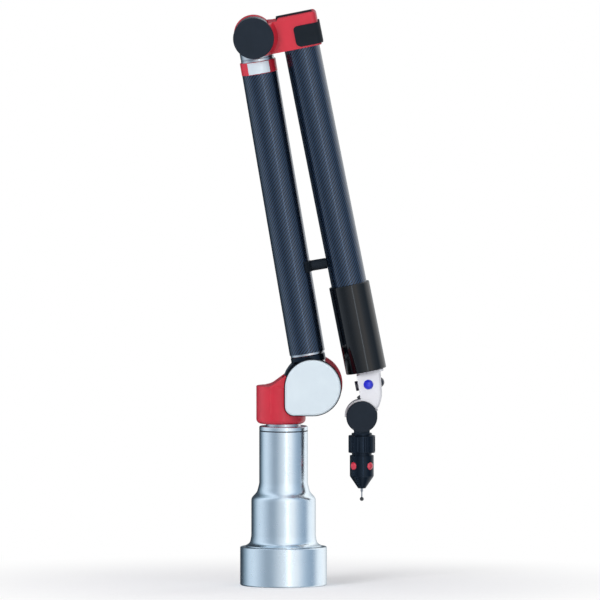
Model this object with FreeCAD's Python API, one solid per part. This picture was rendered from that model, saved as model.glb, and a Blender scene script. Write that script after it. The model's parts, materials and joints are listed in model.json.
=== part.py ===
"""Portable measuring arm, parked: a swivelling shoulder on a column, two carbon tubes folded side by side,
and a wrist that carries a ball probe.

Millimetres. +Z is up, the front of the arm faces -Y, and the origin is on the swivel axis where the
mounting ring stands. Each sub-part is written to parts/NAME.step in its parked place.
"""
import math
import os

import FreeCAD, Part

V = FreeCAD.Vector

# ---- clearances ----
RUN = 0.03          # radial running fit of a shaft in its bearing
GAP = 0.5           # between faces that move past each other
SLIP = 0.1          # a button in its hole, a cover on its spigot
SEAT = 0.3          # a spring's end off the part it hooks on, a foot off its ledge

# ---- base: mounting ring, flange and column ----
RING_R = 65.0
RING_H = 58.0
THREAD_R = 44.45            # 3.5 inch, eight threads to the inch
THREAD_LENGTH = 25.0
FLANGE_R = 57.5
SPIGOT_R = 50.5             # column inside the ring's lip
LIP_H = 9.5
BODY_R = 48.3
BODY_TOP = 131.0            # where the body turns in towards the neck
FLARE_R = 57.0
FLARE_RISE = 16.0
FLARE_BLEND = 20.0
FLARE_EDGE = 1.6            # upright rim below the flare
FLARE_TURN = 5.5            # height of the flare's inner bend
NECK_R = 36.4
NECK_START = 153.0
NECK_BEND = 3.4             # the bend's corner outside the neck
NECK_BEND_RISE = 9.0
NECK_BLEND = 14.0
NECK_TOP = 232.3
CAP_H = 7.0
SEAM = 0.9                  # chamfers that show the joint under the cap
CAVITY_R = 40.0
CAVITY_TOP = 106.0
WEB_T = 10.0
BOARD_R = 36.0
BOARD_T = 1.6
POST_R = 3.0
POST_H = 18.0
POSTS = 4
POST_PCR = 30.0
SCREW_R = 4.25              # M5 socket head
SCREW_DEPTH = 6.0
SCREW_PCR = 38.0
SCREWS = 6
SOCKET_R = 8.0
SOCKET_WALL = 1.6
SOCKET_DEPTH = 8.0
SOCKET_RIM = 3.0
SOCKET_Z = 90.0
PIN_R = 0.8
PIN_PCR = 3.4
PINS = 4

# ---- swivel: shaft, bearings and housing ----
SHAFT_R = 20.0
SHAFT_BORE = 11.0
SHAFT_FLANGE_R = 26.2
SHAFT_GAP = 3.7             # dark gap between the column's cap and the housing
BEARING_R = 30.0
BEARING_W = 16.0
ENCODER_T = 1.6
DISC_DROP = 2.0             # swivel disc below the column's web
BARREL_R = 37.0
BARREL_SHIFT = -3.8
BARREL_H = 57.0
BARREL_BLEND = 7.0
SHOULDER_X = 44.0
HUB_R = 41.7                # silver front cover
HUB_CORNER = 13.5
REAR_HUB_R = 44.5
COVER_T = 8.0
CHEEK_T = 18.0
WEB_REACH = 20.0            # how far the web runs left of the swivel axis
WEB_MEET = 22.0             # where its top meets the hub, in degrees above level
WEB_BLEND = 25.0
REAR_CAP_R = 31.0
REAR_SCREW_R = 2.4
REAR_SCREWS = 3
SPRING_W = 6.0
SPRING_T = 1.2
SPRING_POCKET_R = 33.0
SPRING_HALF_TURNS = 12
LEAN_LEFT = 38.5            # arm directions that the slot leaves free, from vertical
LEAN_RIGHT = 120.0

# ---- arms ----
TUBE_R = 26.7
TUBE_WALL = 2.5
AXLE_R = 10.0
HINGE_BEARING_R = 17.0
HINGE_BEARING_W = 9.0
KNUCKLE_R = 38.0
APRON_R = 45.5              # black apron on the knuckle, which closes the slot behind the neck
APRON_FROM = 29.0           # degrees left of the lower tube's axis
APRON_TO = 112.0
LOWER_LENGTH = 532.5        # shoulder axis to elbow axis
LOWER_TILT = 9.62           # degrees left of vertical
LOWER_TUBE_START = 50.0
ROLL_R = 12.0
ROLL_BEARING_R = 19.0
ROLL_RING_R = 26.0
ROLL_RING_H = 10.0
COLLAR_TOP = 37.0           # below the elbow axis
COLLAR_H = 19.0
PLATE_ANGLE = 35.0
ELBOW_R = 28.7
ELBOW_NECK_R = 25.0
PEG_R = 8.0
PEG_DROP = 354.5            # below the elbow axis, along the lower tube
SADDLE_T = 2.0
SADDLE_ANGLE = 48.0

# ---- elbow yoke and forearm ----
FOREARM_TILT = 11.22
FOREARM_OFFSET = 68.0
YOKE_R = 29.5
YOKE_HALF = 33.5
YOKE_TOP = 17.6
BLOCK_TOP = 21.0
BLOCK_HALF = 31.0
BLOCK_CORNER = 9.0
ELBOW_CAP_R = 30.75
CAP_T = 7.0
PAD_T = 2.4
TOP_PAD_T = 1.3
TOP_PAD_HALF = 13.0
SIDE_PAD_LEFT = 61.0
SIDE_PAD_TOP = 4.7
SIDE_PAD_LOW = -26.8
TUBE_SEAT = 24.0            # how deep the forearm sits in the yoke
GRIP_R = 30.5
GRIP_LENGTH = 133.0
GRIP_END = 526.4            # elbow axis to the grip's lower end, along the forearm

# ---- wrist ----
WRIST_DROP = 65.1           # grip's end to the wrist axis, along the forearm
WRIST_OFFSET = 19.7         # wrist axis left of the forearm's axis
WRIST_FLANGE_T = 3.0
WRIST_LEFT = 15.5
WRIST_RIGHT = 21.0
WRIST_TAPER = 4.5           # how far the right side has come in at the waist
WRIST_WAIST = -40.0
SHELL_WALL = 7.0
WRIST_HALF = 19.0
TONGUE_R = 22.0
BOSS_R = 25.6
TONGUE_HALF = 15.0
BUTTON_R = 7.4
BUTTON_REACH = 5.0
BUTTON_STEM = 5.0
BUTTON_Z = -19.5
TRAVEL = 1.0
CAVITY_LOW = -34.0
MODE_SIZE = 5.5
MODE_REACH = 5.0
MODE_TILT = 25.0
MODE_Z = -36.5
WRIST_ROLL_R = 16.0         # outside of the wrist's roll bearings
WRIST_SPINDLE = 46.0
WRIST_AXLE_R = 6.0
WRIST_BEARING_R = 12.0

# ---- probe ----
DISC_R = 23.4
DISC_T = 6.0
FORK_T = 3.0
SPIGOT_TIP_R = 13.0
SCALLOP_R = 3.0
SCALLOP_DEPTH = 1.3
PROBE_NECK_R = 12.0
NECK_END = 25.5
PROBE_FLANGE_R = 15.4
PROBE_FLANGE_END = 28.6
LOCK_R = 20.1
LOCK_END = 55.2
LOCK_SCALLOPS = 12
PROBE_R = 18.0
PROBE_START = 59.0
PROBE_END = 90.8
NOSE_END = 108.8
NOSE_R = 5.6
STYLUS_HUB_R = 1.9
STYLUS_HUB_END = 113.2
STYLUS_SCREW_R = 1.3
STYLUS_SCREW = 6.0
STEM_R = 1.0
BALL_R = 3.0
BALL_Z = 124.8
RED_BUTTON_R = 6.0
RED_BUTTON_Z = 74.6
RED_BUTTON_ANGLE = 47.0

# ---- places worked out from the sizes above ----
LEDGE = THREAD_LENGTH
FLANGE_TOP = RING_H - LIP_H - GAP
BOARD_Z = FLANGE_TOP + POST_H
FLARE_TOP = RING_H + FLARE_RISE
PEG_Z = LOWER_LENGTH - PEG_DROP
CAP_TOP = NECK_TOP + CAP_H
HOUSING_Z = CAP_TOP + SHAFT_GAP
SHOULDER_Z = HOUSING_Z + BARREL_H
FORK_HALF = TUBE_R + 1.3
KNUCKLE_HALF = FORK_HALF - GAP
CHEEK_OUT = FORK_HALF + CHEEK_T
SPRING_LOW = SEAT - CHEEK_OUT
REAR_POCKET_R = HINGE_BEARING_R + 6
GRIP_TOP = GRIP_END - GRIP_LENGTH
BLOCK_END = FOREARM_OFFSET + BLOCK_HALF


def tilted(x, z, degrees):
    """Frame on a hinge axis, its +Z leaning left by so many degrees."""
    return FreeCAD.Placement(V(x, 0, z), FreeCAD.Rotation(V(0, 1, 0), -degrees))


def point_in(frame, x, z):
    return frame.multVec(V(x, 0, z))


LOWER = tilted(SHOULDER_X, SHOULDER_Z, LOWER_TILT)
ELBOW_POINT = point_in(LOWER, 0, LOWER_LENGTH)
FOREARM = tilted(ELBOW_POINT.x, ELBOW_POINT.z, FOREARM_TILT)
WRIST_POINT = point_in(FOREARM, FOREARM_OFFSET - WRIST_OFFSET, -GRIP_END - WRIST_DROP)
WRIST_TOP = point_in(FOREARM, FOREARM_OFFSET, -GRIP_END)
WRIST = tilted(WRIST_TOP.x, WRIST_TOP.z, FOREARM_TILT)
PROBE = tilted(WRIST_POINT.x, WRIST_POINT.z, 0)

parts = {}


# ---- shapes ----
def outline(corners):
    """Closed wire in the X-Z plane. A corner is (x, z) or (x, z, radius)."""
    count = len(corners)
    starts, ends, middles = [], [], []
    for i, corner in enumerate(corners):
        here = V(corner[0], 0, corner[1])
        before = corners[i - 1]
        after = corners[(i + 1) % count]
        if len(corner) == 2:
            starts.append(here)
            ends.append(here)
            middles.append(None)
            continue
        back = (V(before[0], 0, before[1]) - here).normalize()
        ahead = (V(after[0], 0, after[1]) - here).normalize()
        half = back.getAngle(ahead) / 2
        reach = corner[2] / math.tan(half)
        centre_way = (back + ahead).normalize()
        starts.append(here + back * reach)
        ends.append(here + ahead * reach)
        middles.append(here + centre_way * (corner[2] / math.sin(half) - corner[2]))
    edges = []
    for i in range(count):
        if middles[i] is not None:
            edges.append(Part.Arc(starts[i], middles[i], ends[i]).toShape())
        following = starts[(i + 1) % count]
        if ends[i].distanceToPoint(following) > 1e-6:
            edges.append(Part.LineSegment(ends[i], following).toShape())
    return Part.Wire(Part.__sortEdges__(edges))


def turned(corners):
    """Solid turned about Z; a corner's first value is its radius."""
    return Part.Face(outline(corners)).revolve(V(0, 0, 0), V(0, 0, 1), 360)


def plate(corners, low, high):
    """Outline in X-Z, from Y low to Y high."""
    face = Part.Face(outline(corners))
    face.translate(V(0, low, 0))
    return face.extrude(V(0, high - low, 0))


def post(radius, low, high, x=0.0, y=0.0):
    return Part.makeCylinder(radius, high - low, V(x, y, low))


def drum(radius, low, high, x=0.0, z=0.0):
    """Cylinder along Y."""
    return Part.makeCylinder(radius, high - low, V(x, low, z), V(0, 1, 0))


def bar(radius, low, high, z=0.0):
    """Cylinder along X."""
    return Part.makeCylinder(radius, high - low, V(low, 0, z), V(1, 0, 0))


def block(x0, x1, y0, y1, z0, z1):
    return Part.makeBox(x1 - x0, y1 - y0, z1 - z0, V(x0, y0, z0))


def to_y(shape):
    """Turn a shape made about Z so that its axis is -Y: its +Z end comes to the front."""
    turned_shape = shape.copy()
    turned_shape.rotate(V(0, 0, 0), V(1, 0, 0), 90)
    return turned_shape


def moved(shape, x=0.0, y=0.0, z=0.0):
    copy = shape.copy()
    copy.translate(V(x, y, z))
    return copy


def mirrored(shape):
    """The other side of the X-Z plane."""
    return shape.mirror(V(0, 0, 0), V(0, 1, 0))


def on_circle(radius, count, start=0.0):
    """Points evenly round a circle, from 'start' degrees."""
    for i in range(count):
        angle = math.radians(start + 360 / count * i)
        yield radius * math.cos(angle), radius * math.sin(angle)


def eased(shape, radius, chosen):
    """Round the edges that the test picks."""
    return shape.makeFillet(radius, [edge for edge in shape.Edges if chosen(edge)])


def at_y(value):
    return lambda edge: abs(edge.BoundBox.YMin - value) < 1e-4 and abs(edge.BoundBox.YMax - value) < 1e-4


def bearing(inner, outer, low, high):
    """Ball bearing as one closed ring: chamfered corners and a shield groove on each face."""
    mid = (inner + outer) / 2
    groove = (outer - inner) / 5
    rim = 0.6
    return turned([
        (inner, low + rim), (inner + rim, low), (mid - groove, low), (mid - groove, low + rim),
        (mid + groove, low + rim), (mid + groove, low), (outer - rim, low), (outer, low + rim),
        (outer, high - rim), (outer - rim, high), (mid + groove, high), (mid + groove, high - rim),
        (mid - groove, high - rim), (mid - groove, high), (inner + rim, high), (inner, high - rim),
    ])


def hinge_bearings(axle, outer, inside):
    """Pair of bearings about Y, their near faces 'inside' from the middle."""
    ring = to_y(bearing(axle + RUN, outer, inside, inside + HINGE_BEARING_W))
    return [ring, mirrored(ring)]


def encoder_disc(inner, outer, low):
    return turned([(inner, low), (outer, low), (outer, low + ENCODER_T), (inner, low + ENCODER_T)])


def keep(name, shape, frame=None):
    if frame is not None:
        shape = shape.transformed(frame.toMatrix(), True)
    parts[name] = shape


def keep_group(name, shapes, frame=None):
    keep(name, Part.makeCompound(shapes), frame)


# ---- base ----
def mounting_ring():
    """Captive ring nut: a thread below, a ledge under the flange and a lip over it."""
    lip_r = SPIGOT_R + RUN * 2
    keep("mounting_ring", turned([
        (THREAD_R, 0), (RING_R, 0, 2.5), (RING_R, RING_H, 1.5), (lip_r, RING_H),
        (lip_r, RING_H - LIP_H), (FLANGE_R + GAP, RING_H - LIP_H), (FLANGE_R + GAP, LEDGE), (THREAD_R, LEDGE),
    ]))


def base_flange():
    """Steel foot of the column, with the posts of the circuit board and screws from below."""
    low = LEDGE + SEAT
    foot = turned([(0, low), (FLANGE_R, low, 1), (FLANGE_R, FLANGE_TOP, 1), (0, FLANGE_TOP)])
    screws = []
    for x, y in on_circle(SCREW_PCR, SCREWS):
        foot = foot.cut(post(SCREW_R + SLIP, low, low + SCREW_DEPTH, x, y))
        head = post(SCREW_R, low + GAP, low + SCREW_DEPTH, x, y)
        screws.append(head.cut(post(SCREW_R / 2, low + GAP, low + SCREW_DEPTH / 2, x, y)))
    for x, y in on_circle(POST_PCR, POSTS, 45):
        foot = foot.fuse(post(POST_R, FLANGE_TOP, BOARD_Z, x, y))
    keep("base_flange", foot)
    keep_group("flange_screws", screws)
    keep("main_board", post(BOARD_R, BOARD_Z, BOARD_Z + BOARD_T))


def column():
    bore = CAVITY_TOP + WEB_T
    shape = turned([
        (CAVITY_R, FLANGE_TOP), (SPIGOT_R, FLANGE_TOP), (SPIGOT_R, RING_H + GAP), (FLARE_R, RING_H + GAP),
        (FLARE_R, RING_H + FLARE_EDGE), (BODY_R + 2, RING_H + FLARE_TURN, 8), (BODY_R, FLARE_TOP, FLARE_BLEND),
        (BODY_R, BODY_TOP, 9), (NECK_R + NECK_BEND, BODY_TOP + NECK_BEND_RISE, NECK_BLEND),
        (NECK_R, NECK_START, NECK_BLEND * 1.4),
        (NECK_R, NECK_TOP - SEAM), (NECK_R - SEAM, NECK_TOP), (BEARING_R, NECK_TOP), (BEARING_R, bore),
        (BEARING_R - 4, bore), (BEARING_R - 4, CAVITY_TOP), (CAVITY_R, CAVITY_TOP, 4),
    ])
    spot_face = BODY_R - 1.8
    shape = shape.cut(drum(SOCKET_R + SOCKET_RIM + GAP, spot_face, BODY_R + 1, 0, SOCKET_Z))
    shape = shape.cut(drum(SOCKET_R, 0, BODY_R, 0, SOCKET_Z))
    keep("column", shape)
    keep("bearing_cap", turned([
        (SHAFT_FLANGE_R + GAP, NECK_TOP), (NECK_R - SEAM, NECK_TOP), (NECK_R, NECK_TOP + SEAM),
        (NECK_R, CAP_TOP, 1.8), (SHAFT_FLANGE_R + GAP, CAP_TOP),
    ]))
    inner, front = SOCKET_R - SOCKET_WALL, SOCKET_DEPTH + 2.5
    shell = turned([
        (0, 0), (SOCKET_R - SLIP, 0), (SOCKET_R - SLIP, SOCKET_DEPTH), (SOCKET_R + SOCKET_RIM, SOCKET_DEPTH),
        (SOCKET_R + SOCKET_RIM, front, 0.8), (inner, front), (inner, SOCKET_DEPTH - 2), (0, SOCKET_DEPTH - 2),
    ])
    pins = [post(PIN_R, SOCKET_DEPTH - 2, front - 1, x, y) for x, y in on_circle(PIN_PCR, PINS, 45)]
    socket = shell.fuse(pins)
    socket.rotate(V(0, 0, 0), V(1, 0, 0), -90)
    keep("rear_socket", moved(socket, 0, spot_face - SOCKET_DEPTH, SOCKET_Z))


def swivel_bearings():
    low = CAVITY_TOP + WEB_T
    keep_group("swivel_bearings", [
        bearing(SHAFT_R + RUN, BEARING_R, low, low + BEARING_W),
        bearing(SHAFT_R + RUN, BEARING_R, NECK_TOP - BEARING_W, NECK_TOP),
    ])
    edge = SHAFT_R + 5 + 2
    low, high = CAVITY_TOP - 9, CAVITY_TOP - DISC_DROP - ENCODER_T - GAP
    head = block(SHAFT_BORE + 3, edge + 7, -7, 7, low, high)
    head = head.fuse(block(edge, edge + 7, -7, 7, low, CAVITY_TOP))
    keep("swivel_read_head", head)


# ---- swivel ----
def hub_outline(radius):
    """Round cover with its lower left corner squared, about the shoulder axis."""
    corners = [(-radius, -radius, HUB_CORNER)]
    return corners + [(x * radius, z * radius, radius) for x, z in ((1, -1), (1, 1), (-1, 1))]


def direction(degrees):
    """Arm direction so many degrees right of vertical, as x and z."""
    return math.sin(math.radians(degrees)), math.cos(math.radians(degrees))


def swivel_housing():
    """Vertical barrel and two cheeks of one casting, with the slot that the arm leans in."""
    barrel = turned([
        (0, HOUSING_Z), (BARREL_R, HOUSING_Z, BARREL_BLEND), (BARREL_R, SHOULDER_Z, 1), (0, SHOULDER_Z),
    ])
    barrel = moved(barrel, BARREL_SHIFT)
    cheek_r = HUB_R - 0.7
    front = plate(hub_outline(cheek_r), -CHEEK_OUT, FORK_HALF)
    rear = drum(REAR_HUB_R, FORK_HALF - 6, CHEEK_OUT)
    rear = eased(rear, 3, at_y(CHEEK_OUT))
    reach = WEB_REACH + SHOULDER_X
    meet_z, meet_x = direction(WEB_MEET)
    web = plate([
        (-reach - WEB_BLEND, 0), (-reach, 0, WEB_BLEND), (-REAR_HUB_R * meet_x, REAR_HUB_R * meet_z), (0, 0),
        (0, -cheek_r), (-reach, -cheek_r), (-reach, -1), (-reach - WEB_BLEND, -1),
    ], -FORK_HALF - 6, FORK_HALF + 6).common(block(-reach - 6, 0, -CHEEK_OUT, CHEEK_OUT, -HUB_R, HUB_R))
    hub = front.fuse([rear, web])
    left_x, left_z = direction(-LEAN_LEFT)
    right_x, right_z = direction(LEAN_RIGHT)
    half = FORK_HALF
    far = REAR_HUB_R * 3
    slot = plate([
        (-left_z * half, left_x * half), (-left_z * half + left_x * far, left_x * half + left_z * far),
        (far, far * 1.5), (right_z * half + right_x * far, -right_x * half + right_z * far),
        (right_z * half, -right_x * half),
    ], -FORK_HALF, FORK_HALF)
    slot = slot.fuse(drum(APRON_R + GAP, -FORK_HALF, FORK_HALF))
    hub = hub.cut(slot).cut(drum(HINGE_BEARING_R, -CHEEK_OUT, CHEEK_OUT))
    hub = hub.cut(drum(SPRING_POCKET_R, -CHEEK_OUT, SPRING_LOW + SPRING_W + GAP))
    hub = hub.cut(drum(REAR_POCKET_R, CHEEK_OUT - 5, CHEEK_OUT))
    slot_here = moved(slot, SHOULDER_X, 0, SHOULDER_Z)
    housing = moved(hub, SHOULDER_X, 0, SHOULDER_Z).fuse(barrel.cut(slot_here)).removeSplitter()
    keep("swivel_housing", housing)


def counterbalance_spring():
    """Flat spiral spring of half rings, their centres to either side in turn, from axle to pocket wall."""
    low, high = SPRING_LOW, SPRING_LOW + SPRING_W
    reach = SPRING_POCKET_R * 2
    step = (SPRING_POCKET_R - AXLE_R - SPRING_T - 2 * SEAT) / SPRING_HALF_TURNS / 2
    coils = []
    for i in range(SPRING_HALF_TURNS):
        radius = AXLE_R + SEAT + step * (1 + 2 * i)
        side = step if i % 2 == 0 else -step
        ring = drum(radius + SPRING_T, low, high, side).cut(drum(radius, low, high, side))
        bottom = 0 if i % 2 == 0 else -reach
        coils.append(ring.common(block(-reach, reach, low, high, bottom, bottom + reach)))
    spring = coils[0].fuse(coils[1:]).removeSplitter()
    keep("counterbalance_spring", moved(spring, SHOULDER_X, 0, SHOULDER_Z))


def swivel_parts():
    low = CAVITY_TOP - DISC_DROP
    keep("swivel_shaft", turned([
        (SHAFT_BORE, low), (SHAFT_R - 1, low), (SHAFT_R, low + 1), (SHAFT_R, NECK_TOP + 0.8),
        (SHAFT_FLANGE_R, NECK_TOP + 0.8), (SHAFT_FLANGE_R, HOUSING_Z), (SHAFT_BORE, HOUSING_Z),
    ]))
    keep("swivel_encoder_disc", encoder_disc(SHAFT_BORE, SHAFT_R + 5, low - ENCODER_T))
    rings = hinge_bearings(AXLE_R, HINGE_BEARING_R, FORK_HALF + 1)
    keep_group("shoulder_bearings", [moved(ring, SHOULDER_X, 0, SHOULDER_Z) for ring in rings])
    cover = plate(hub_outline(HUB_R), -CHEEK_OUT - COVER_T, -CHEEK_OUT)
    cover = eased(cover, 3.2, at_y(-CHEEK_OUT - COVER_T))
    cover = cover.cut(drum(AXLE_R + 4, -CHEEK_OUT - 4, -CHEEK_OUT))
    keep("shoulder_cover", moved(cover, SHOULDER_X, 0, SHOULDER_Z))
    keep("shoulder_rear_cap", moved(round_cap(REAR_CAP_R, REAR_POCKET_R), SHOULDER_X, 0, SHOULDER_Z))
    spot = CHEEK_OUT + CAP_T
    keep_group("rear_cap_screws", [
        drum(REAR_SCREW_R, spot, spot + 1.2, SHOULDER_X + x, SHOULDER_Z + z)
        for x, z in on_circle((REAR_CAP_R + REAR_POCKET_R) / 2, REAR_SCREWS, 90)
    ])


def round_cap(radius, pocket):
    """Shallow round cover for the back of a hinge, hollow over the axle's end."""
    cap = turned([
        (0, CAP_T), (radius, CAP_T, 2.5), (radius, 0), (pocket, 0), (pocket, CAP_T - 2.5), (0, CAP_T - 2.5),
    ])
    cap.rotate(V(0, 0, 0), V(1, 0, 0), -90)
    return moved(cap, 0, CHEEK_OUT)


# ---- shoulder knuckle ----
def shoulder_knuckle():
    ring_low = LOWER_TUBE_START - 4 - ROLL_RING_H
    knuckle = drum(KNUCKLE_R, -KNUCKLE_HALF, KNUCKLE_HALF)
    knuckle = eased(knuckle, 2, lambda edge: edge.Length > 50 and edge.BoundBox.YLength < 1e-3)
    knuckle = knuckle.fuse(post(ROLL_RING_R - 1.5, 0, ring_low)).fuse(post(ROLL_BEARING_R + 2.5, 0, ring_low + 5))
    knuckle = knuckle.cut(drum(AXLE_R, -KNUCKLE_HALF, KNUCKLE_HALF))
    knuckle = knuckle.cut(post(ROLL_BEARING_R, AXLE_R + 4, ring_low + 5))
    keep("shoulder_knuckle", knuckle, LOWER)
    ring = turned([
        (ROLL_BEARING_R + 2.5, ring_low), (ROLL_RING_R, ring_low, 1), (ROLL_RING_R, ring_low + ROLL_RING_H, 1),
        (ROLL_R + 4, ring_low + ROLL_RING_H), (ROLL_R + 4, ring_low + 5), (ROLL_BEARING_R + 2.5, ring_low + 5),
    ])
    from_x, from_z = direction(-APRON_FROM)
    to_x, to_z = direction(-APRON_TO)
    far = APRON_R * 3
    fan = plate([(0, 0), (to_x * far, to_z * far), (-far, far), (from_x * far, from_z * far)],
                -KNUCKLE_HALF, KNUCKLE_HALF)
    apron = drum(APRON_R, -KNUCKLE_HALF, KNUCKLE_HALF).common(fan)
    apron = apron.cut(post(ROLL_RING_R - 1.5, 0, ring_low)).cut(post(ROLL_BEARING_R + 2.5, 0, far))
    ring = ring.fuse(apron).cut(drum(KNUCKLE_R, -KNUCKLE_HALF, KNUCKLE_HALF))
    keep("roll_ring", ring.removeSplitter(), LOWER)
    low = AXLE_R + 5
    keep_group("roll_bearings", [
        bearing(ROLL_R + RUN, ROLL_BEARING_R, low, low + 8),
        bearing(ROLL_R + RUN, ROLL_BEARING_R, ring_low - 5, ring_low + 5),
    ], LOWER)
    back = CHEEK_OUT + 1
    axle = drum(AXLE_R, -CHEEK_OUT - 2, back)
    axle = axle.cut(drum(AXLE_R - 5, -CHEEK_OUT - 2, back))
    keep("shoulder_axle", axle, LOWER)
    disc = to_y(encoder_disc(AXLE_R - 5, HINGE_BEARING_R + 3, -back - ENCODER_T))
    keep("shoulder_encoder_disc", disc, LOWER)


# ---- lower arm ----
def lower_arm():
    flange_low = LOWER_TUBE_START - 4 + GAP
    bore = TUBE_R - TUBE_WALL
    tube_end = LOWER_LENGTH - COLLAR_TOP
    keep("roll_spindle", turned([
        (5, AXLE_R + 6), (ROLL_R - 1, AXLE_R + 6), (ROLL_R, AXLE_R + 7), (ROLL_R, flange_low),
        (ROLL_RING_R - 0.4, flange_low, 0.8), (ROLL_RING_R - 0.4, LOWER_TUBE_START), (bore, LOWER_TUBE_START),
        (bore, LOWER_TUBE_START + 30), (bore - 4, LOWER_TUBE_START + 30), (bore - 4, LOWER_TUBE_START + 3),
        (5, LOWER_TUBE_START + 3),
    ]), LOWER)
    keep("roll_encoder_disc", encoder_disc(ROLL_R, ROLL_BEARING_R - 1, AXLE_R + 14.5), LOWER)
    keep("lower_tube", turned([
        (bore, LOWER_TUBE_START), (TUBE_R, LOWER_TUBE_START), (TUBE_R, tube_end - COLLAR_H),
        (bore, tube_end - COLLAR_H),
    ]), LOWER)
    keep("red_collar", turned([
        (bore, tube_end - COLLAR_H), (TUBE_R + 0.4, tube_end - COLLAR_H, 0.6), (TUBE_R + 0.4, tube_end, 0.8),
        (bore, tube_end),
    ]), LOWER)
    label = turned([
        (TUBE_R + 0.4, tube_end - COLLAR_H + 0.8), (TUBE_R + 1.6, tube_end - COLLAR_H + 0.8, 0.5),
        (TUBE_R + 1.6, tube_end - 0.6, 0.5), (TUBE_R + 0.4, tube_end - 0.6),
    ])
    keep("blank_plate", label.common(wedge(PLATE_ANGLE, -90, tube_end - COLLAR_H, tube_end)), LOWER)
    peg()
    elbow_knuckle(tube_end, bore)


def wedge(half_angle, way, low, high):
    """Sector about Z, half_angle to each side of the direction 'way' (degrees from +X)."""
    reach = TUBE_R * 2
    sector = Part.makeCylinder(reach, high - low, V(0, 0, low), V(0, 0, 1), 2 * half_angle)
    sector.rotate(V(0, 0, 0), V(0, 0, 1), way - half_angle)
    return sector


def peg():
    """Parking peg: a saddle on the lower tube and a post whose end is hollowed to the forearm."""
    saddle = turned([
        (TUBE_R, PEG_Z - PEG_R), (TUBE_R + SADDLE_T, PEG_Z - PEG_R, 0.8),
        (TUBE_R + SADDLE_T, PEG_Z + PEG_R, 0.8), (TUBE_R, PEG_Z + PEG_R),
    ]).common(wedge(SADDLE_ANGLE, 0, PEG_Z - PEG_R, PEG_Z + PEG_R))
    stem = bar(PEG_R, TUBE_R - 4, FOREARM_OFFSET * 1.3, PEG_Z).cut(post(TUBE_R, 0, PEG_Z * 2))
    shape = saddle.fuse(stem).transformed(LOWER.toMatrix(), True)
    rest = post(TUBE_R + GAP, -GRIP_TOP, 0, FOREARM_OFFSET)
    beyond = block(FOREARM_OFFSET, FOREARM_OFFSET * 2, -40, 40, -GRIP_TOP, 0)
    away = rest.fuse(beyond).transformed(FOREARM.toMatrix(), True)
    keep("parking_peg", shape.cut(away))


def elbow_knuckle(tube_end, bore):
    axis = LOWER_LENGTH
    knuckle = eased(drum(ELBOW_R, -KNUCKLE_HALF, KNUCKLE_HALF, 0, axis), 2,
                    lambda edge: edge.Length > 50 and edge.BoundBox.YLength < 1e-3)
    neck = turned([
        (0, tube_end - COLLAR_H - 20), (bore, tube_end - COLLAR_H - 20), (bore, tube_end),
        (ELBOW_NECK_R, tube_end), (ELBOW_NECK_R, tube_end + 3.2), (ELBOW_NECK_R - 1, tube_end + 3.9),
        (ELBOW_NECK_R, tube_end + 4.6), (ELBOW_NECK_R, axis), (0, axis),
    ])
    knuckle = knuckle.fuse(neck).cut(drum(HINGE_BEARING_R, -KNUCKLE_HALF, KNUCKLE_HALF, 0, axis))
    keep("elbow_knuckle", knuckle.cut(post(8, 0, axis - HINGE_BEARING_R)), LOWER)
    rings = hinge_bearings(AXLE_R, HINGE_BEARING_R, KNUCKLE_HALF - 1 - HINGE_BEARING_W)
    keep_group("elbow_bearings", [moved(ring, 0, 0, axis) for ring in rings], LOWER)


# ---- elbow yoke and forearm ----
def rounded_end(extra):
    """Upright block as wide as the yoke, the corners of its right end rounded."""
    end, half, tall = BLOCK_END + extra, YOKE_HALF + extra, YOKE_R * 2
    shape = block(-YOKE_R, end, -half, half, -tall, tall)
    return eased(shape, BLOCK_CORNER + extra,
                 lambda edge: edge.BoundBox.XMin > end - 1 and edge.BoundBox.ZLength > tall)


def yoke_outline():
    left = FOREARM_OFFSET - BLOCK_HALF
    return [
        (0, -YOKE_R), (BLOCK_END, -YOKE_R, 2), (BLOCK_END, BLOCK_TOP, 5.5), (left + 4, BLOCK_TOP, 2),
        (left + 2, YOKE_TOP, 1.5), (0, YOKE_TOP),
    ]


def elbow_yoke():
    """Fork over the elbow knuckle that widens into the block round the forearm tube."""
    arm = plate(yoke_outline(), -YOKE_HALF, YOKE_HALF).common(rounded_end(0))
    whole = drum(YOKE_R, -CHEEK_OUT, CHEEK_OUT).fuse(plate(yoke_outline(), -CHEEK_OUT, CHEEK_OUT))
    boss = Part.makeCone(YOKE_R + 8, YOKE_R + 1.5, CHEEK_OUT - YOKE_HALF + 2, V(0, YOKE_HALF - 2, 0), V(0, 1, 0))
    ends = boss.fuse(mirrored(boss)).common(whole)
    discs = drum(YOKE_R, -YOKE_HALF, YOKE_HALF)
    yoke = arm.fuse([discs, ends])
    reach = YOKE_R + 30
    slot = drum(YOKE_R + 1.5, -FORK_HALF, FORK_HALF).fuse([
        block(-reach, YOKE_R + 1.5, -FORK_HALF, FORK_HALF, -reach, 0),
        block(-reach, 0, -FORK_HALF, FORK_HALF, -reach, reach),
    ])
    yoke = yoke.cut(slot).cut(drum(AXLE_R, -CHEEK_OUT, CHEEK_OUT))
    yoke = yoke.cut(post(TUBE_R, -YOKE_R, -YOKE_R + TUBE_SEAT, FOREARM_OFFSET))
    keep("elbow_yoke", yoke.removeSplitter(), FOREARM)


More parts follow.
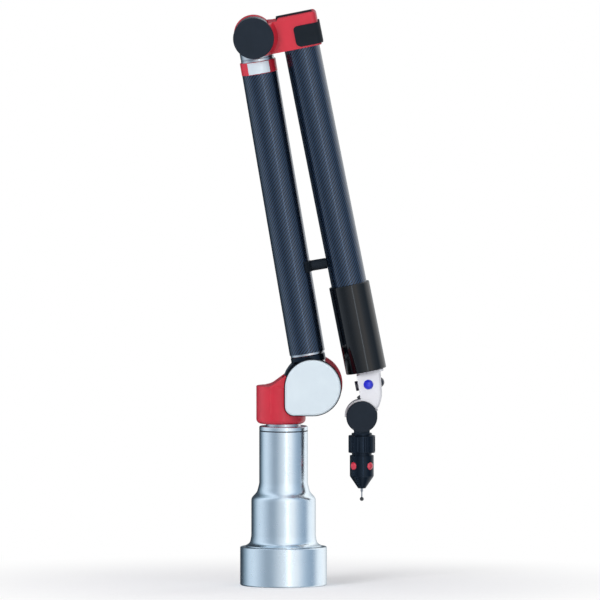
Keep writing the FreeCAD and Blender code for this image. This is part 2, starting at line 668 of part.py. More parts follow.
def elbow_covers():
    front = turned([(0, 0), (ELBOW_CAP_R, 0), (ELBOW_CAP_R, CAP_T, 1.6), (0, CAP_T)])
    front = front.cut(post(AXLE_R + 4, 0, CAP_T - 2.5))
    keep("elbow_front_cap", moved(to_y(front), 0, -CHEEK_OUT), FOREARM)
    keep("elbow_rear_cap", round_cap(YOKE_R - 2.5, AXLE_R + 4), FOREARM)
    keep("elbow_axle", drum(AXLE_R, -CHEEK_OUT - 2, CHEEK_OUT + 2), FOREARM)
    disc = to_y(encoder_disc(AXLE_R, HINGE_BEARING_R - 1, -ENCODER_T / 2))
    keep("elbow_encoder_disc", disc, FOREARM)


def elbow_pads():
    """Rubber bumper on top, and one wrapped round the end of the block."""
    left = FOREARM_OFFSET - BLOCK_HALF + 1
    top = plate([(left, YOKE_TOP + 1), (BLOCK_END - 6, YOKE_TOP + 1), (BLOCK_END - 6, BLOCK_TOP + TOP_PAD_T, 1),
                 (left, BLOCK_TOP + TOP_PAD_T, 1.5)], -TOP_PAD_HALF, TOP_PAD_HALF)
    keep("top_pad", top.cut(plate(yoke_outline(), -YOKE_HALF, YOKE_HALF)), FOREARM)
    wrap = rounded_end(PAD_T).cut(rounded_end(0))
    face = plate([
        (SIDE_PAD_LEFT, SIDE_PAD_LOW, 8), (BLOCK_END * 2, SIDE_PAD_LOW), (BLOCK_END * 2, SIDE_PAD_TOP),
        (SIDE_PAD_LEFT, SIDE_PAD_TOP, 6),
    ], -YOKE_HALF * 2, YOKE_HALF * 2)
    keep("side_pad", wrap.common(face), FOREARM)


def forearm():
    top = -YOKE_R + TUBE_SEAT
    bore = TUBE_R - TUBE_WALL
    low = -GRIP_END + 6
    tube = turned([(bore, low), (TUBE_R, low), (TUBE_R, top), (bore, top)])
    keep("forearm_tube", moved(tube, FOREARM_OFFSET), FOREARM)
    grip = turned([
        (TUBE_R, low), (TUBE_R - 3, low), (TUBE_R - 3, -GRIP_END),
        (GRIP_R, -GRIP_END, 1.5), (GRIP_R, -GRIP_TOP, 1.5), (TUBE_R, -GRIP_TOP),
    ])
    keep("grip", moved(grip, FOREARM_OFFSET), FOREARM)
    low, high = -GRIP_END + 8, -GRIP_END + WRIST_SPINDLE
    housing = turned([(WRIST_ROLL_R, low), (bore, low), (bore, high), (WRIST_ROLL_R, high)])
    keep("wrist_bearing_housing", moved(housing, FOREARM_OFFSET), FOREARM)
    rings = [bearing(AXLE_R + RUN, WRIST_ROLL_R, z, z + HINGE_BEARING_W)
             for z in (low + 1, high - HINGE_BEARING_W)]
    keep_group("wrist_roll_bearings", [moved(ring, FOREARM_OFFSET) for ring in rings], FOREARM)


# ---- wrist ----
def wrist_housing():
    """White shell from the roll flange down to the tongue of the wrist hinge."""
    hinge_x, hinge_z = -WRIST_OFFSET, -WRIST_DROP
    shell = plate([
        (-WRIST_LEFT, -WRIST_FLANGE_T - GAP), (WRIST_RIGHT, -WRIST_FLANGE_T - GAP),
        (WRIST_RIGHT - WRIST_TAPER, WRIST_WAIST, 30), (hinge_x + BOSS_R + 2.5, hinge_z + 9, 15),
        (hinge_x + BOSS_R - 3, hinge_z + 6), (hinge_x, hinge_z), (hinge_x - 6, hinge_z + 20),
        (-WRIST_LEFT - 0.8, hinge_z + BOSS_R - 2),
    ], -WRIST_HALF, WRIST_HALF)
    shell = eased(shell, 5, lambda edge: edge.BoundBox.YLength < 1e-3 and edge.BoundBox.ZMin > hinge_z + 24
                  and edge.BoundBox.ZLength > 8)
    boss = drum(BOSS_R, -TONGUE_HALF, TONGUE_HALF, hinge_x, hinge_z)
    boss = boss.common(block(hinge_x - 60, hinge_x + 60, -30, 30, hinge_z + 4, hinge_z + 60))
    tongue = drum(TONGUE_R, -TONGUE_HALF, TONGUE_HALF, hinge_x, hinge_z)
    clear = drum(DISC_R + GAP, TONGUE_HALF, 60, hinge_x, hinge_z)
    shell = shell.cut(clear).cut(mirrored(clear))
    shell = shell.fuse([boss, tongue]).cut(drum(WRIST_BEARING_R, -TONGUE_HALF, TONGUE_HALF, hinge_x, hinge_z))
    for name, at, way in button_places():
        shell = shell.cut(moved(facing(post(BUTTON_R + SLIP, -9, 9), way), *at))
    shell = shell.cut(block(SHELL_WALL - WRIST_LEFT, WRIST_RIGHT - SHELL_WALL - 2, SHELL_WALL - WRIST_HALF,
                            WRIST_HALF - SHELL_WALL, CAVITY_LOW, -WRIST_FLANGE_T - GAP))
    shell = shell.cut(mode_block(SLIP, TRAVEL + 1))
    keep("wrist_housing", shell.removeSplitter(), WRIST)


def button_places():
    """Name, centre on the housing's skin and outward direction of each round button."""
    return [
        ("front_button", (-0.6, -WRIST_HALF, BUTTON_Z), (0, -1, 0)),
        ("right_button", (WRIST_RIGHT - 2.5, 0, BUTTON_Z - 1), (1, 0, 0)),
        ("left_button", (-WRIST_LEFT, 0, BUTTON_Z), (-1, 0, 0)),
    ]


def facing(shape, way):
    """Turn a shape made about Z so that its +Z end points along a level direction, given as x and y."""
    angle = math.degrees(math.atan2(way[1], way[0]))
    copy = shape.copy()
    copy.rotate(V(0, 0, 0), V(0, 1, 0), 90)
    copy.rotate(V(0, 0, 0), V(0, 0, 1), angle)
    return copy


def mode_block(extra=0.0, depth=0.0):
    """Small sloping push block on the housing's left, above the hinge."""
    size = MODE_SIZE / 2 + extra
    shape = block(-MODE_REACH, 3 + depth, -size * 1.5, size * 1.5, -size, size)
    shape.rotate(V(0, 0, 0), V(0, 1, 0), -MODE_TILT)
    return moved(shape, -WRIST_LEFT - 0.6, 0, MODE_Z)


def wrist_parts():
    flat = turned([(0, -BUTTON_STEM), (BUTTON_R, -BUTTON_STEM), (BUTTON_R, BUTTON_REACH, 0.8), (0, BUTTON_REACH)])
    domed = dome_button(BUTTON_R, BUTTON_REACH, BUTTON_STEM)
    for name, at, way in button_places():
        button = flat if name == "left_button" else domed
        keep(name, moved(facing(button, way), *at), WRIST)
    keep("mode_button", eased(mode_block(), 0.8, lambda edge: edge.BoundBox.XMax < -WRIST_LEFT - 2), WRIST)
    flange = plate([(-WRIST_LEFT + 1, 0), (WRIST_RIGHT + 4.5, 0), (WRIST_RIGHT + 4.5, WRIST_FLANGE_T),
                    (-WRIST_LEFT + 1, WRIST_FLANGE_T)], -WRIST_HALF, WRIST_HALF)
    flange = eased(flange, 6, lambda edge: edge.BoundBox.ZLength > WRIST_FLANGE_T - 0.1)
    flange = moved(flange, 0, 0, -WRIST_FLANGE_T - GAP)
    spindle = flange.fuse(post(AXLE_R, -GAP, WRIST_SPINDLE))
    keep("wrist_spindle", spindle.cut(post(AXLE_R - 4, -WRIST_SPINDLE, WRIST_SPINDLE)), WRIST)
    board = block(SHELL_WALL - WRIST_LEFT + SLIP, WRIST_RIGHT - SHELL_WALL - 2 - SLIP, 3, 3 + BOARD_T,
                  CAVITY_LOW + SLIP, -WRIST_FLANGE_T * 2)
    keep("wrist_board", board, WRIST)
    rings = hinge_bearings(WRIST_AXLE_R, WRIST_BEARING_R, TONGUE_HALF - 1 - HINGE_BEARING_W)
    keep_group("wrist_hinge_bearings", [moved(ring, -WRIST_OFFSET, 0, -WRIST_DROP) for ring in rings], WRIST)


def dome_button(radius, reach, depth):
    """Round push button about +Z: a stem below the skin and a crowned head above it."""
    crown = (radius * radius + reach * reach) / (2 * reach)
    head = Part.makeSphere(crown, V(0, 0, reach - crown)).common(post(radius, 0, reach))
    return head.fuse(post(radius, -depth, 0)).removeSplitter()


# ---- probe ----
def probe_fork():
    """Fork over the wrist tongue, its neck and flange, and the spigot that carries the probe body."""
    inner = TONGUE_HALF + GAP
    outer = inner + FORK_T
    cheeks = drum(TONGUE_R, -outer, outer)
    bridge = drum(TONGUE_R + 5, -outer, outer).common(
        block(-PROBE_NECK_R, PROBE_NECK_R, -outer, outer, -TONGUE_R - 5, 0))
    fork = cheeks.fuse(bridge).cut(drum(TONGUE_R + GAP, -inner, inner))
    lower = turned([
        (0, -PROBE_START - 3), (SPIGOT_TIP_R, -PROBE_START - 3), (SPIGOT_TIP_R, -PROBE_FLANGE_END),
        (PROBE_FLANGE_R, -PROBE_FLANGE_END), (PROBE_FLANGE_R, -NECK_END - 0.6), (PROBE_FLANGE_R - 1, -NECK_END),
        (PROBE_NECK_R, -NECK_END), (PROBE_NECK_R, -TONGUE_R - GAP - 1), (0, -TONGUE_R - GAP - 1),
    ])
    fork = fork.fuse(lower).cut(drum(WRIST_AXLE_R, -outer, outer))
    keep("probe_fork", fork.removeSplitter(), PROBE)
    keep("wrist_axle", drum(WRIST_AXLE_R, -outer, outer), PROBE)
    disc = to_y(turned([(0, 0), (DISC_R, 0), (DISC_R, DISC_T, 1.6), (0, DISC_T)]))
    keep("wrist_front_disc", moved(disc, 0, -outer), PROBE)
    keep("wrist_rear_disc", moved(mirrored(disc), 0, outer), PROBE)


def lock_ring():
    low, high = -LOCK_END, -PROBE_FLANGE_END - GAP
    ring = turned([
        (SPIGOT_TIP_R + RUN, low), (LOCK_R, low, 1.2), (LOCK_R, high, 1.2), (SPIGOT_TIP_R + RUN, high),
    ])
    for x, y in on_circle(LOCK_R + SCALLOP_R - SCALLOP_DEPTH, LOCK_SCALLOPS, 180 / LOCK_SCALLOPS):
        ring = ring.cut(post(SCALLOP_R, low + 2.5, high - 2.5, x, y))
    keep("lock_ring", ring, PROBE)


def red_button_places():
    for side in (-1, 1):
        angle = math.radians(RED_BUTTON_ANGLE)
        yield ("left" if side < 0 else "right"), (side * math.sin(angle), -math.cos(angle))


def probe_body():
    low = -PROBE_END
    body = turned([
        (0, low), (PROBE_R - 0.5, low), (PROBE_R, low + 0.5), (PROBE_R, -PROBE_START, 0.8),
        (PROBE_FLANGE_R - 0.5, -PROBE_START), (PROBE_FLANGE_R - 0.5, -LOCK_END - GAP),
        (SPIGOT_TIP_R, -LOCK_END - GAP), (SPIGOT_TIP_R, -PROBE_START - 3), (0, -PROBE_START - 3),
    ])
    seat = PROBE_R - 0.8
    for side, way in red_button_places():
        hole = moved(facing(post(RED_BUTTON_R + SLIP, -7, 6), way), way[0] * seat, way[1] * seat, -RED_BUTTON_Z)
        body = body.cut(hole)
        button = facing(dome_button(RED_BUTTON_R, 3.2, BUTTON_STEM), way)
        button = moved(button, way[0] * seat, way[1] * seat, -RED_BUTTON_Z)
        keep("red_button_" + side, button, PROBE)
    keep("probe_body", body, PROBE)
    nose = turned([
        (0, -NOSE_END), (NOSE_R, -NOSE_END, 1), (PROBE_R - 0.5, low - 0.4), (PROBE_R - 0.5, low), (0, low),
    ])
    keep("nose_cone", nose.cut(post(STYLUS_SCREW_R, -NOSE_END, -NOSE_END + STYLUS_SCREW)), PROBE)


def stylus():
    stem_end = -BALL_Z + BALL_R - 0.6
    stem = turned([
        (0, stem_end), (STEM_R, stem_end), (STEM_R, -STYLUS_HUB_END - 1), (STYLUS_HUB_R, -STYLUS_HUB_END),
        (STYLUS_HUB_R, -NOSE_END), (STYLUS_SCREW_R, -NOSE_END), (STYLUS_SCREW_R, STYLUS_SCREW - NOSE_END),
        (0, STYLUS_SCREW - NOSE_END),
    ])
    keep("stylus_stem", stem, PROBE)
    ball = Part.makeSphere(BALL_R, V(0, 0, -BALL_Z))
    keep("stylus_ball", ball.cut(post(STEM_R, stem_end, stem_end + 3)), PROBE)


for section in (mounting_ring, base_flange, column, swivel_bearings, swivel_housing, counterbalance_spring,
                swivel_parts, shoulder_knuckle, lower_arm, elbow_yoke, elbow_covers, elbow_pads, forearm,
                wrist_housing, wrist_parts, probe_fork, lock_ring, probe_body, stylus):
    section()

os.makedirs("parts", exist_ok=True)
for name, shape in parts.items():
    shape.exportStep("parts/" + name + ".step")
    state = "" if shape.isValid() else "  NOT VALID"
    print(f"{name:26s} {len(shape.Solids):3d} solids {shape.Volume / 1000:9.2f} cm3{state}")
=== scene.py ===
"""Looks of the portable measuring arm: finishes of its solids, thin trim, light, floor and camera."""
import json
import math

import bpy
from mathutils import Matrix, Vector


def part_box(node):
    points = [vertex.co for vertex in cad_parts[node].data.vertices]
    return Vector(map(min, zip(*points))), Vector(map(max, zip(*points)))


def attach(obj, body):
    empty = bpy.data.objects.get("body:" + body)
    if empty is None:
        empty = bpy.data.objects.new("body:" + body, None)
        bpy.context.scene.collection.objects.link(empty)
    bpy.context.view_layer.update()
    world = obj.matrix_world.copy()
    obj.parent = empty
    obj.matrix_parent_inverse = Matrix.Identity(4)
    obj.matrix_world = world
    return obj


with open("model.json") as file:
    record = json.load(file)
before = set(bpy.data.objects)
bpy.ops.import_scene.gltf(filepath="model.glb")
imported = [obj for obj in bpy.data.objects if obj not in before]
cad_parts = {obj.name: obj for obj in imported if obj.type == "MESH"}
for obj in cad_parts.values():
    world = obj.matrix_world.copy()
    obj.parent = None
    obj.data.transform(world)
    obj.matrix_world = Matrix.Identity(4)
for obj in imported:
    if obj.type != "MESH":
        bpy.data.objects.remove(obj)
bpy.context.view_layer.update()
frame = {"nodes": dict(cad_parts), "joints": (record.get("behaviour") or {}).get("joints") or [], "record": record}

MM = 0.001
TUBE_R = 26.7                   # outside radius of both carbon tubes
joints = {joint["name"]: joint for joint in frame["joints"]}


def place_of(joint_name):
    return Vector(joints[joint_name]["pos_m"])


def lean_of(joint_name):
    """How far a joint's axis leans left of upright, in radians."""
    axis = joints[joint_name]["axis"]
    return math.atan2(-axis[0], axis[2])


# ---------------------------------------------------------------- finishes
def srgb(code):
    """Linear colour of a hex value."""
    def linear(channel):
        return channel / 12.92 if channel <= 0.04045 else ((channel + 0.055) / 1.055) ** 2.4
    return tuple(linear(int(code[i:i + 2], 16) / 255) for i in (1, 3, 5)) + (1.0,)


def add(tree, kind, inputs=None, **settings):
    """Adds a node. An input is named or numbered, and takes a value, an output, or a node for its first
    output."""
    node = tree.nodes.new("ShaderNode" + kind)
    for name, value in settings.items():
        setattr(node, name, value)
    for key, value in (inputs or {}).items():
        if isinstance(value, bpy.types.Node):
            value = value.outputs[0]
        if isinstance(value, bpy.types.NodeSocket):
            tree.links.new(value, node.inputs[key])
        else:
            node.inputs[key].default_value = value
    return node


def start(name):
    """New material with an empty tree, and the tree."""
    material = bpy.data.materials.new(name)
    material.use_nodes = True
    material.node_tree.nodes.clear()
    return material, material.node_tree


def close(tree, **inputs):
    """Principled shader at the end of a tree; underscores in a name stand for spaces."""
    shader = add(tree, "BsdfPrincipled", {name.replace("_", " "): value for name, value in inputs.items()})
    add(tree, "OutputMaterial", {"Surface": shader})


# Noise keeps mostly between these values, so a range that starts and ends there uses all of it.
NOISE_RANGE = {"From Min": 0.3, "From Max": 0.7}


def coated(name, light, dark, roughness, skin_mm, skin_depth, metallic=0.0, cloud_mm=30.0, **extra):
    """A finish of two close shades in soft clouds, over a skin of fine grain."""
    material, tree = start(name)
    place = add(tree, "TexCoord").outputs["Object"]
    clouds = add(tree, "TexNoise", {"Vector": place, "Scale": 1 / (cloud_mm * MM)})
    patches = add(tree, "TexNoise", {"Vector": place, "Scale": 1 / (cloud_mm / 3 * MM)})
    grain = add(tree, "TexNoise", {"Vector": place, "Scale": 1 / (skin_mm * MM), "Detail": 1.0})
    shade = add(tree, "MapRange", {"Value": clouds, **NOISE_RANGE})
    colour = add(tree, "Mix", {0: shade, 6: srgb(dark), 7: srgb(light)}, data_type="RGBA")
    wear = {"Value": patches, **NOISE_RANGE, "To Min": roughness - 0.03, "To Max": roughness + 0.03}
    skin = add(tree, "Bump", {"Height": grain, "Distance": skin_depth * MM})
    close(tree, Base_Color=colour.outputs[2], Metallic=metallic, Roughness=add(tree, "MapRange", wear),
          Normal=skin, **extra)
    return material


# Bead-blasted aluminium under clear anodising: a wide soft gleam and a faint blue cast. Beads leave pits
# of about 0.1 mm; they are drawn 0.6 mm wide and very shallow.
blasted_aluminium = coated("blasted_aluminium", "#E4EEF5", "#DFEAF2", 0.25, 0.6, 0.0003, metallic=1.0)

# Silver baked enamel on the pressed cover and plate: pale and even, with a fine flake of 0.3 mm.
silver_enamel = coated("silver_enamel", "#E0EBF1", "#DBE6ED", 0.38, 0.3, 0.003, metallic=0.3,
                       Coat_Weight=0.2, Coat_Roughness=0.25)

# Red baked enamel over cast aluminium: a smooth satin skin with orange peel about 1.5 mm across.
red_enamel = coated("red_enamel", "#CE2238", "#C41E33", 0.36, 1.5, 0.006,
                    Coat_Weight=0.3, Coat_Roughness=0.2)

# Glass-filled nylon from a spark-eroded mould: dark slate, dull, with grains of 0.4 mm.
moulded_nylon = coated("moulded_nylon", "#1A232E", "#161F29", 0.55, 0.4, 0.015, Specular_IOR_Level=0.25)

# Nitrile rubber bumpers and seals: darker, duller and coarser than the nylon.
nitrile_rubber = coated("nitrile_rubber", "#141C24", "#10171E", 0.65, 0.5, 0.03, Specular_IOR_Level=0.25)

# Gloss ABS grip: a deep black with a sharp reflection and the faint sink marks of a long moulding.
gloss_abs_black = coated("gloss_abs_black", "#06090E", "#04060A", 0.1, 9.0, 0.004)

# White ABS shell of the wrist: a fine satin moulding.
white_abs = coated("white_abs", "#F0F1F5", "#EAEBF1", 0.32, 0.5, 0.005, Coat_Weight=0.15, Coat_Roughness=0.2)

# Black anodised aluminium, turned: blue-black, with a hard narrow gleam.
black_anodising = coated("black_anodising", "#1F2935", "#1A232D", 0.16, 0.5, 0.0008, metallic=0.8,
                         Specular_IOR_Level=0.3)

# Silicone button caps, clear-lacquered: saturated colour under a wet gloss.
blue_silicone = coated("blue_silicone", "#1524E6", "#101CC8", 0.22, 1.0, 0.004, cloud_mm=6.0,
                       Coat_Weight=0.8, Coat_Roughness=0.05)
red_silicone = coated("red_silicone", "#D92F48", "#C8263E", 0.26, 1.0, 0.004, cloud_mm=6.0,
                      Coat_Weight=0.6, Coat_Roughness=0.08)
# Navy silicone: on the right side button, which is blue like the front one, this dark copy is painted shade.
dark_and_shaded_silicone = coated("dark_and_shaded_silicone", "#12122A", "#0C0C1C", 0.25, 1.0, 0.004, cloud_mm=6.0,
                       Coat_Weight=0.6, Coat_Roughness=0.08)

# Black thermoplastic of the connector: satin.
connector_plastic = coated("connector_plastic", "#16181B", "#111316", 0.4, 0.5, 0.01)

# Hardened bearing rings, ground and polished.
bearing_steel = coated("bearing_steel", "#C9CBCE", "#BFC2C6", 0.15, 0.4, 0.002, metallic=1.0)

# Black-oxide screws: dark, oily and half bright.
black_oxide = coated("black_oxide", "#2A2B30", "#202125", 0.35, 0.4, 0.006, metallic=0.9)

# Silicon nitride ball, lapped: almost black and mirror smooth.
lapped_ceramic = coated("lapped_ceramic", "#1B1D21", "#16181B", 0.06, 3.0, 0.001, cloud_mm=3.0,
                        Specular_IOR_Level=0.8)


def turned_metal(name, light, dark, roughness):
    """Lathe-turned metal: tool marks in rings, drawn 0.5 mm apart, close to the real 0.2 mm."""
    material, tree = start(name)
    long_rings = (0.02, 0.02, 1.0)
    place = add(tree, "TexCoord").outputs["Object"]
    drawn_out = add(tree, "Mapping", {0: place, "Scale": long_rings})
    grooves = add(tree, "TexNoise", {"Vector": drawn_out, "Scale": 1 / (0.5 * MM), "Detail": 1.0})
    shade = add(tree, "MapRange", {"Value": grooves, **NOISE_RANGE})
    colour = add(tree, "Mix", {0: shade, 6: srgb(dark), 7: srgb(light)}, data_type="RGBA")
    wear = {"Value": grooves, **NOISE_RANGE, "To Min": roughness - 0.04, "To Max": roughness + 0.04}
    marks = add(tree, "Bump", {"Height": grooves, "Distance": 0.01 * MM})
    close(tree, Base_Color=colour.outputs[2], Metallic=1.0, Roughness=add(tree, "MapRange", wear),
          Normal=marks)
    return material


# Bare aluminium straight from the lathe.
turned_aluminium = turned_metal("turned_aluminium", "#D3D6DA", "#C4C8CD", 0.27)

# Free-cutting steel, turned and ground.
turned_steel = turned_metal("turned_steel", "#A9ABB0", "#9A9CA2", 0.3)


def carbon_twill(name, axis_joint, radius_mm):
    """Carbon fabric in two-by-two twill round a tube, under satin lacquer: tows 1.3 mm wide, two over and
    two under, each crossing one step on, so that the fabric shows fine diagonals and a long soft gleam.
    Part of that gleam is painted sheen: the warp tows are coloured lighter than the weft."""
    material, tree = start(name)
    tow_mm = 1.3
    tows = round(2 * math.pi * radius_mm / tow_mm / 4) * 4

    centred = add(tree, "Mapping", {
        "Vector": add(tree, "TexCoord").outputs["Object"],
        "Location": place_of(axis_joint),
        "Rotation": (0, -lean_of(axis_joint), 0),
    }, vector_type="TEXTURE")
    axes = add(tree, "SeparateXYZ", {0: centred})
    angle = add(tree, "Math", {0: axes.outputs[1], 1: axes.outputs[0]}, operation="ARCTAN2")
    around = add(tree, "Math", {0: angle, 1: tows / (2 * math.pi)}, operation="MULTIPLY")
    up = add(tree, "Math", {0: axes.outputs[2], 1: 1 / (tow_mm * MM)}, operation="MULTIPLY")

    columns = add(tree, "Math", {0: around}, operation="FLOOR")
    rows = add(tree, "Math", {0: up}, operation="FLOOR")
    step = add(tree, "Math", {0: columns, 1: rows}, operation="SUBTRACT")
    turn = add(tree, "Math", {0: step, 1: 4.0}, operation="FLOORED_MODULO")
    warp = add(tree, "Math", {0: turn, 1: 1.5}, operation="LESS_THAN")

    def crown(across):
        """Height across a tow: 0.5 in its middle and 0 at its edges."""
        part = add(tree, "Math", {0: across}, operation="FRACT")
        return add(tree, "Math", {0: part, 1: 0.5}, operation="PINGPONG")

    height = add(tree, "Mix", {0: warp, 2: crown(up), 3: crown(around)}, data_type="FLOAT")
    along_tube = add(tree, "Mapping", {0: centred, "Scale": (1.0, 1.0, 0.15)})
    threads = add(tree, "TexNoise", {"Vector": along_tube, "Scale": 1 / (0.35 * MM)})
    thin = add(tree, "MapRange", {"Value": threads, **NOISE_RANGE, "To Max": 0.4})
    # Warp tows, lying along the tube, are coloured a lighter steel blue than the weft: painted sheen standing for
    # the gleam along their fibres, which are the same fibre as the weft's.
    weave_with_painted_sheen = add(tree, "Mix", {0: warp, 6: srgb("#0E1622"), 7: srgb("#365070")}, data_type="RGBA")
    weave_with_painted_sheen = add(tree, "Mix", {0: thin, 6: weave_with_painted_sheen.outputs[2], 7: srgb("#070B12")}, data_type="RGBA")
    rough = add(tree, "MapRange", {"Value": warp, "To Min": 0.32, "To Max": 0.24})
    relief = add(tree, "Bump", {"Height": height, "Distance": 0.1 * MM, "Strength": 0.5})
    close(tree, Base_Color=weave_with_painted_sheen.outputs[2], Metallic=0.8, Roughness=rough, Normal=relief,
          Coat_Weight=0.8, Coat_Roughness=0.09)
    return material


lower_twill = carbon_twill("lower_tube_twill", "lower_arm_roll", TUBE_R)
forearm_twill = carbon_twill("forearm_twill", "wrist_roll", TUBE_R)


def green_board():
    """Circuit board: green solder mask over copper tracks 1 mm apart."""
    material, tree = start("green_solder_mask")
    place = add(tree, "TexCoord").outputs["Object"]
    tracks = add(tree, "TexBrick", {
        "Vector": place, "Color1": srgb("#1C6B3A"), "Color2": srgb("#175C31"), "Mortar": srgb("#2E8A50"),
        "Scale": 1 / (6 * MM), "Mortar Size": 0.03,
    })
    runs = add(tree, "TexNoise", {"Vector": place, "Scale": 1 / (2.0 * MM)})
    lacquer = add(tree, "Bump", {"Height": runs, "Distance": 0.02 * MM})
    close(tree, Base_Color=tracks, Roughness=0.3, Coat_Weight=0.4, Normal=lacquer)
    return material


circuit_board = green_board()


def graduated_glass():
    """Encoder disc of float glass, its chrome lines drawn 1 mm apart to show."""
    material, tree = start("encoder_glass")
    place = add(tree, "TexCoord").outputs["Object"]
    lines = add(tree, "TexWave", {"Vector": place, "Scale": 1 / (7 * MM)}, wave_type="RINGS")
    chrome = add(tree, "MapRange", {"Value": lines.outputs[1], **NOISE_RANGE})
    colour = add(tree, "Mix", {0: chrome, 6: srgb("#7E8C8C"), 7: srgb("#DCE8E6")}, data_type="RGBA")
    close(tree, Base_Color=colour.outputs[2], Roughness=0.06, IOR=1.52, Transmission_Weight=0.6)
    return material


encoder_glass = graduated_glass()

FINISH = {
    "silver_anodised": blasted_aluminium, "silver_cover": silver_enamel, "machined_silver": turned_aluminium,
    "red_coat": red_enamel, "steel": turned_steel, "dark_steel": black_oxide, "bearing_steel": bearing_steel,
    "carbon_fibre": lower_twill, "grip_black": gloss_abs_black, "cap_black": moulded_nylon,
    "rubber_black": nitrile_rubber, "black_anodised": black_anodising, "white_shell": white_abs,
    "blue_button": blue_silicone, "dark_button": dark_and_shaded_silicone, "red_button": red_silicone,
    "circuit_board": circuit_board, "encoder_glass": encoder_glass, "black_plastic": connector_plastic,
    "ball_dark": lapped_ceramic,
}
for subpart in frame["record"]["subparts"]:
    node = frame["nodes"][subpart["node"]]
    node.data.materials.clear()
    node.data.materials.append(FINISH[subpart["material_slot"]])
frame["nodes"]["forearm_tube"].data.materials[0] = forearm_twill


# ---------------------------------------------------------------- trim
UP = Vector((0, 0, 1))
BACK = Vector((0, 1, 0))


def swept(name, path, profile, material, body, closed):
    """Piece made by carrying a profile along a path of (point, outward, upward). The profile's points are
    (out, up) offsets in mm."""
    points = []
    for point, outward, upward in path:
        points += [tuple(point + (outward * out + upward * up) * MM) for out, up in profile]
    size, rounds = len(profile), len(path)
    faces = []
    for i in range(rounds if closed else rounds - 1):
        here, there = i * size, (i + 1) % rounds * size
        for j in range(size):
            k = (j + 1) % size
            faces.append((here + j, here + k, there + k, there + j))
    if not closed:
        faces += [tuple(range(size))[::-1], tuple(range((rounds - 1) * size, rounds * size))]

    mesh = bpy.data.meshes.new(name)
    mesh.from_pydata(points, [], faces)
    mesh.materials.append(material)
    thing = bpy.data.objects.new(name, mesh)
    bpy.context.scene.collection.objects.link(thing)
    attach(thing, body)


def round_column(radius, height, turn):
    """Point of a path on a circle round the column, in metres, with its outward and upward directions."""
    outward = Vector((math.cos(turn), math.sin(turn), 0))
    return outward * radius + UP * height, outward, UP


def mounting_thread():
    """Thread of the ring: 3.5 inch, eight to the inch, seven turns."""
    pitch, turns, steps = 25.4 / 8, 7, 72
    root, depth, sunk, first = 44.45, 1.6, 0.15, 1.8
    root_half, crest_half = pitch * 0.44, pitch * 0.08
    low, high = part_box("mounting_ring")
    path = []
    for i in range(turns * steps + 1):
        height = low.z + (first + pitch * i / steps) * MM
        path.append(round_column(root * MM, height, 2 * math.pi * i / steps))
    profile = [(sunk, -root_half), (sunk, root_half), (-depth, crest_half), (-depth, -crest_half)]
    swept("mounting_thread", path, profile, blasted_aluminium, "ring", closed=False)


mounting_thread()


def cap_seal():
    """Black seal that fills the groove under the bearing cap, to just below its edges."""
    groove, below, steps = 0.8, 0.1, 96
    low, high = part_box("bearing_cap")
    radius = (high.x - low.x) / 2
    path = [round_column(radius, low.z, 2 * math.pi * i / steps) for i in range(steps)]
    profile = [(-groove, 0), (-below, -groove), (-below, groove)]
    swept("cap_seal", path, profile, nitrile_rubber, "base", closed=True)


def rounded_square(centre, half, radii, steps=24):
    """Path round an outline in X-Z with the four corner radii from lower left, counter-clockwise."""
    corners = ((-1, -1, 180), (1, -1, 270), (1, 1, 0), (-1, 1, 90))
    path = []
    for (x, z, first), radius in zip(corners, radii):
        middle = Vector((x * (half - radius), 0, z * (half - radius)))
        for i in range(steps + 1):
            angle = math.radians(first + 90 * i / steps)
            outward = Vector((math.cos(angle), 0, math.sin(angle)))
            path.append((centre + (middle + outward * radius) * MM, outward, BACK))
    return path


def cover_shade_strip():
    """Black rubber strip behind the shoulder cover, which has one small corner and three round ones: it is
    painted shade, the dark line where the cover's edge lies in shadow."""
    small_corner, inside, proud, thick = 13.5, 1.6, 1.5, 1.4
    low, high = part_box("shoulder_cover")
    half = (high.x - low.x) / 2 / MM
    centre = Vector(((low.x + high.x) / 2, high.y, (low.z + high.z) / 2))
    path = rounded_square(centre, half, (small_corner, half, half, half))
    profile = [(-inside, 0), (proud, 0), (proud, thick), (-inside, thick)]
    swept("cover_shade_strip", path, profile, nitrile_rubber, "swivel", closed=True)


cover_shade_strip()
cap_seal()


# ---------------------------------------------------------------- light, floor and camera
MIDDLE = Vector((0.03, 0.0, 0.45))
WHITE = srgb("#FFFFFF")


def softbox(name, at, size, power, mirrored=False, colour=WHITE):
    """Rectangular lamp turned to the arm's middle. Metal and gloss show it only where it is mirrored."""
    lamp = bpy.data.lights.new(name, "AREA")
    lamp.shape = "RECTANGLE"
    lamp.size, lamp.size_y = size
    lamp.energy = power
    lamp.color = colour[:3]
    holder = bpy.data.objects.new(name, lamp)
    holder.location = at
    holder.rotation_euler = (MIDDLE - Vector(at)).to_track_quat("-Z", "Y").to_euler()
    holder.visible_glossy = mirrored
    bpy.context.scene.collection.objects.link(holder)


softbox("key_left", (-1.4, -2.3, 1.4), (1.0, 1.4), 44)
softbox("fill_right", (2.0, -1.7, 0.9), (0.8, 1.4), 4)
softbox("back_right", (1.8, 1.6, 1.2), (0.8, 1.4), 8)
softbox("top", (0.0, -0.3, 2.6), (1.4, 1.4), 12)
softbox("strip_front", (0.75, -2.9, 0.45), (0.2, 2.4), 3.6, mirrored=True, colour=srgb("#D4E4F4"))

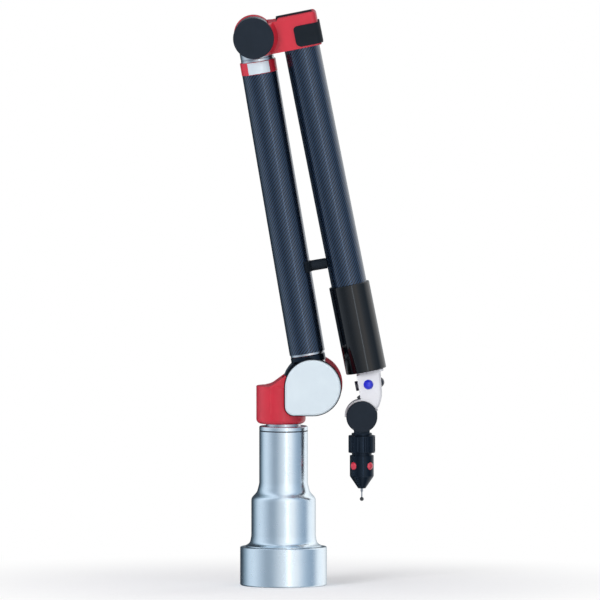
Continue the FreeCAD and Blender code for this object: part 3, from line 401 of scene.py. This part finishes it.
# What metal and gloss reflect: a room of upright white panels with grey between them, as (degrees to the
# right of the front, shade).
PANELS = (
    (-180, "#596168"), (-165, "#2A323A"), (-140, "#3A464F"), (-122, "#8C9FAD"), (-104, "#CEDCE8"),
    (-86, "#DAE6F1"), (-66, "#BBC8D5"), (-47, "#98A5B2"), (-32, "#9EABB8"), (-12, "#CFD7DF"),
    (6, "#F2F6F9"), (33, "#FFFFFF"), (50, "#C9D6E3"), (66, "#A4B5C6"), (86, "#8B9FB3"),
    (106, "#F4FAFF"), (140, "#FFFFFF"), (160, "#C4CACE"), (180, "#596168"),
)


def panelled_room(sky):
    """The panels as a colour by direction, a little brighter towards the ceiling."""
    toward = add(sky, "SeparateXYZ", {0: add(sky, "TexCoord").outputs["Generated"]})
    front = add(sky, "Math", {0: toward.outputs[1], 1: -1.0}, operation="MULTIPLY")
    bearing = add(sky, "Math", {0: toward.outputs[0], 1: front}, operation="ARCTAN2")
    turn = add(sky, "MapRange", {"Value": bearing, "From Min": -math.pi, "From Max": math.pi})
    ramp = add(sky, "ValToRGB", {0: turn})
    stops = ramp.color_ramp.elements
    while len(stops) < len(PANELS):
        stops.new(0.5)
    for stop, (degrees, shade) in zip(stops, PANELS):
        stop.position = degrees / 360 + 0.5
        stop.color = srgb(shade)
    rise = {"Value": toward.outputs[2], "From Min": -0.6, "From Max": 0.8, "To Min": 0.98, "To Max": 1.3}
    level = add(sky, "MapRange", rise)
    return add(sky, "VectorMath", {0: ramp, "Scale": level}, operation="SCALE")


def studio():
    """World of even light for matte surfaces, with the room in metal and gloss and plain white behind."""
    world = bpy.data.worlds.new("studio")
    bpy.context.scene.world = world
    world.use_nodes = True
    sky = world.node_tree
    sky.nodes.clear()
    rays = add(sky, "LightPath").outputs
    even = add(sky, "Background", {"Color": WHITE, "Strength": 0.4})
    room = add(sky, "Background", {"Color": panelled_room(sky)})
    plain = add(sky, "Background", {"Color": WHITE})
    seen = {0: rays["Is Camera Ray"], 1: rays["Is Transmission Ray"]}
    lit = add(sky, "MixShader", {0: rays["Is Glossy Ray"], 1: even, 2: room})
    whole = add(sky, "MixShader", {0: add(sky, "Math", seen, operation="MAXIMUM"), 1: lit, 2: plain})
    add(sky, "OutputWorld", {"Surface": whole})


def white_paper():
    """Matte white paper: it takes the shadow near the foot and reads as white further off. Gloss looks past
    it to the room."""
    material, tree = start("white_paper_floor")
    shadow_ends = {"From Min": 0.15, "From Max": 0.7}
    rays = add(tree, "LightPath").outputs
    place = add(tree, "TexCoord").outputs["Object"]
    away = add(tree, "VectorMath", {0: place}, operation="LENGTH").outputs["Value"]
    far = add(tree, "MapRange", {"Value": away, **shadow_ends}, interpolation_type="SMOOTHSTEP")
    matte = add(tree, "BsdfDiffuse", {"Color": srgb("#E4E4E7")})
    near = add(tree, "AddShader", {0: matte, 1: add(tree, "Emission", {"Color": WHITE, "Strength": 0.2})})
    in_view = add(tree, "MixShader", {0: far, 1: near, 2: add(tree, "Emission", {"Color": WHITE})})
    sheet = add(tree, "MixShader", {0: rays["Is Camera Ray"], 1: matte, 2: in_view})
    clear = add(tree, "BsdfTransparent")
    whole = add(tree, "MixShader", {0: rays["Is Glossy Ray"], 1: sheet, 2: clear})
    add(tree, "OutputMaterial", {"Surface": whole})
    return material


def lay_floor():
    """Sheet of paper just under the foot, so that the two don't share a plane."""
    reach, level = 9.0, -0.3 * MM
    mesh = bpy.data.meshes.new("floor")
    corners = [(-reach, -reach, level), (reach, -reach, level), (reach, reach, level), (-reach, reach, level)]
    mesh.from_pydata(corners, [], [(0, 1, 2, 3)])
    mesh.materials.append(white_paper())
    floor = bpy.data.objects.new("floor", mesh)
    bpy.context.scene.collection.objects.link(floor)


def set_camera():
    """Parallel view from the front and a little above, with the whole arm upright in it."""
    elevation, distance = math.radians(4.0), 4.0
    aim = Vector((0.02475, 0.0, 0.4285))
    lens = bpy.data.cameras.new("camera")
    lens.type = "ORTHO"
    lens.ortho_scale = 0.9
    lens.clip_end = 50
    camera = bpy.data.objects.new("camera", lens)
    camera.location = aim + Vector((0, -math.cos(elevation), math.sin(elevation))) * distance
    camera.rotation_euler = (math.pi / 2 - elevation, 0, 0)
    bpy.context.scene.collection.objects.link(camera)
    bpy.context.scene.camera = camera
    bpy.context.scene.view_settings.view_transform = "Standard"


studio()
lay_floor()
set_camera()
